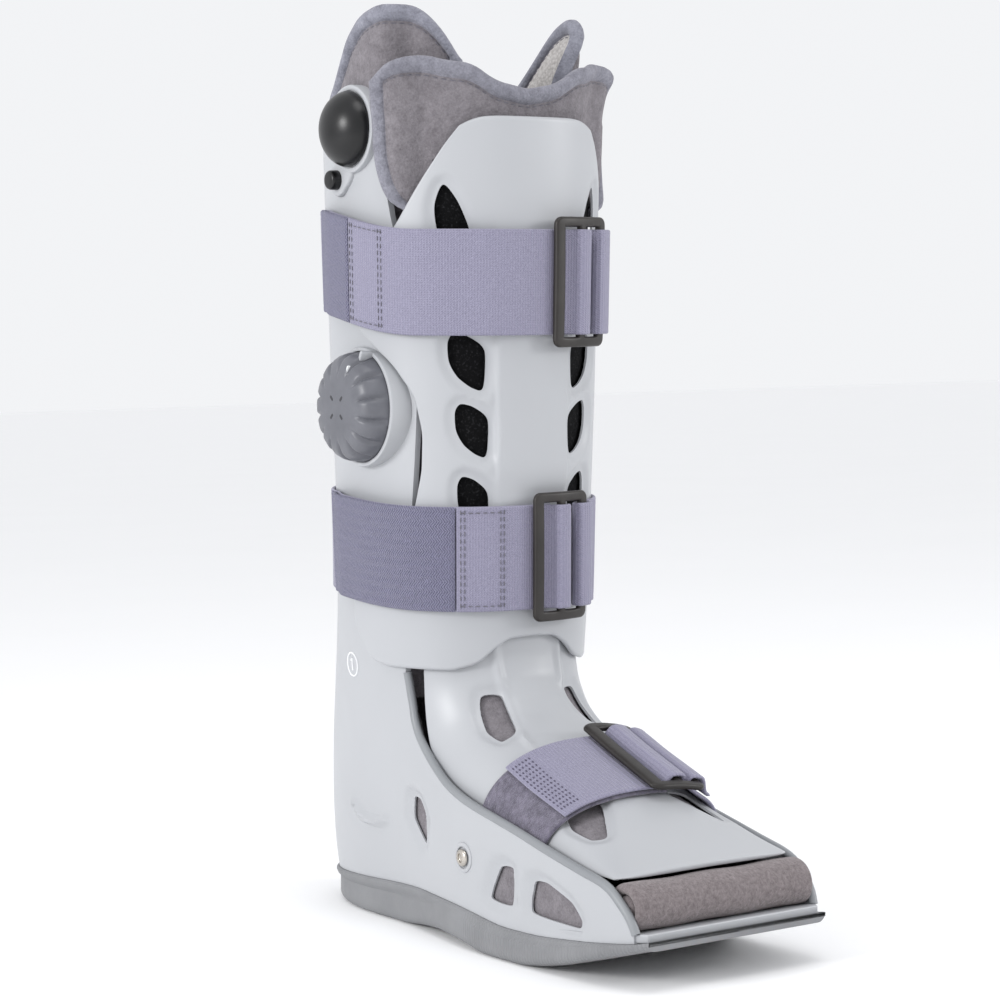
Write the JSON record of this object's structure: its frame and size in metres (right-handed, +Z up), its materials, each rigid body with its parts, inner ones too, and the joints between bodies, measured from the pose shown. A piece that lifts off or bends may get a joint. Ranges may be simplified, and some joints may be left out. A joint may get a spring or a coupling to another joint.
{
  "type": "medical walking boot",
  "caption": "Tall medical walking boot: moulded shell on a rocker sole, felt lining, vented shin and foot panels, buckled straps, a pump bulb, a release button and a dial.",
  "frame": {"origin": "on the ground, in the flat heel part of the tread, below the middle of the ankle", "axes": "+Z up, -Y towards the toe, -X the outer side with the dial, the pump bulb and the release button"},
  "size_m": [0.1442, 0.3073, 0.4448],
  "materials": {
    "shell_plastic": "pale blue-grey moulded plastic, fine satin grain",
    "sole_rubber": "mid-grey moulded rubber, matte",
    "felt": "grey brushed loop felt with stitched bindings",
    "foam": "near-black open foam behind the vents",
    "webbing": "grey-violet woven webbing",
    "hook_tape": "darker violet hook tape, moulded dots and herringbone",
    "loop_cloth": "dark fuzzy loop fabric",
    "buckle_plastic": "charcoal moulded plastic, satin",
    "dial_plastic": "grey moulded plastic, satin",
    "bulb_rubber": "black rubber, smooth",
    "steel": "dull metal"
  },
  "bodies": {
    "boot": {"outsole": "sole_rubber", "rear_shell": "shell_plastic", "front_panel": "shell_plastic", "foot_panel": "shell_plastic", "leg_liner": "felt", "front_pad": "felt", "air_cell": "foam", "foot_liner": "felt", "insole": "felt", "instep_pad": "felt", "toe_roll": "felt", "upper_strap": "webbing", "upper_hook_tab": "hook_tape", "upper_belt": "webbing", "upper_buckle": "buckle_plastic", "lower_strap": "webbing", "lower_hook_tab": "hook_tape", "lower_belt": "webbing", "lower_buckle": "buckle_plastic", "foot_strap": "webbing", "foot_belt": "loop_cloth", "foot_loop": "webbing", "foot_buckle": "buckle_plastic", "pump_bulb": "bulb_rubber", "bolt_lateral": "steel", "bolt_medial": "steel"},
    "dial": {"dial": "dial_plastic"},
    "release_button": {"release_button": "bulb_rubber"}
  },
  "joints": [
    {"name": "dial_turn", "type": "hinge", "parent": "boot", "child": "dial", "pos_m": [-0.0655, -0.0203, 0.2538], "axis": [-1, 0, 0], "range_deg": [-90, 180]},
    {"name": "release_press", "type": "slide", "parent": "boot", "child": "release_button", "axis": [1, 0, 0], "range_m": [0, 0.002], "stiffness_N_per_m": 1000, "springref_m": -0.0005}
  ]
}
